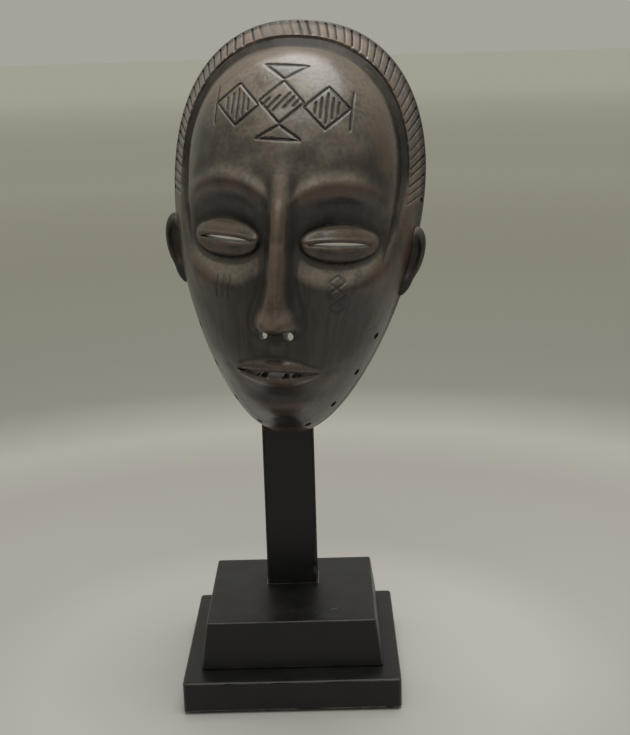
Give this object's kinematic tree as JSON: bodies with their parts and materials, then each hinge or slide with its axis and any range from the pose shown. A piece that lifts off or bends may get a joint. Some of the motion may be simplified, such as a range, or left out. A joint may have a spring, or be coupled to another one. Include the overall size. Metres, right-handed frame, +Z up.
{
  "type": "carved wooden mask on stand",
  "caption": "Hollow carved wooden face mask with a ribbed hair band, hung on a steel cross bar above a black stepped wooden stand, for showing on a shelf or table.",
  "frame": {"origin": "centre of the stand's felt underside, where it rests on a shelf", "axes": "+Z up, the mask faces -Y, +X is the viewer's right"},
  "size_m": [0.1518, 0.1398, 0.3852],
  "materials": {
    "mask_wood": "dark oiled and waxed hardwood, glossy on the worn high places",
    "stand_paint": "satin black paint on wood, rubbed at the edges",
    "black_steel": "blackened steel",
    "screw_steel": "zinc-plated steel",
    "felt": "black felt",
    "sleeve_rubber": "soft black rubber"
  },
  "bodies": {
    "stand": {"base_felt": "felt", "base_plinth": "stand_paint", "base_block": "stand_paint", "post": "stand_paint", "plinth_screw_1": "screw_steel", "plinth_screw_2": "screw_steel", "plinth_screw_3": "screw_steel", "plinth_screw_4": "screw_steel", "post_screw_1": "screw_steel", "post_screw_2": "screw_steel", "spine_grub_screw": "black_steel", "chin_pad": "felt", "spine_rod": "black_steel", "bar_collar": "black_steel", "bar_grub_screw": "black_steel", "cross_bar": "black_steel"},
    "sleeves": {"bar_sleeve_left": "sleeve_rubber", "bar_sleeve_right": "sleeve_rubber"},
    "carving": {"mask": "mask_wood"}
  },
  "joints": [
    {"name": "mask_swing", "type": "hinge", "parent": "stand", "child": "sleeves", "pos_m": [0.01451, 0.0035, 0.35339], "axis": [-0.9901, 0.1216, 0.0698], "range_deg": [0, 18]},
    {"name": "mask_lift", "type": "slide", "parent": "sleeves", "child": "carving", "axis": [-0.0301, -0.6705, 0.7413], "range_m": [0, 0.15]}
  ]
}
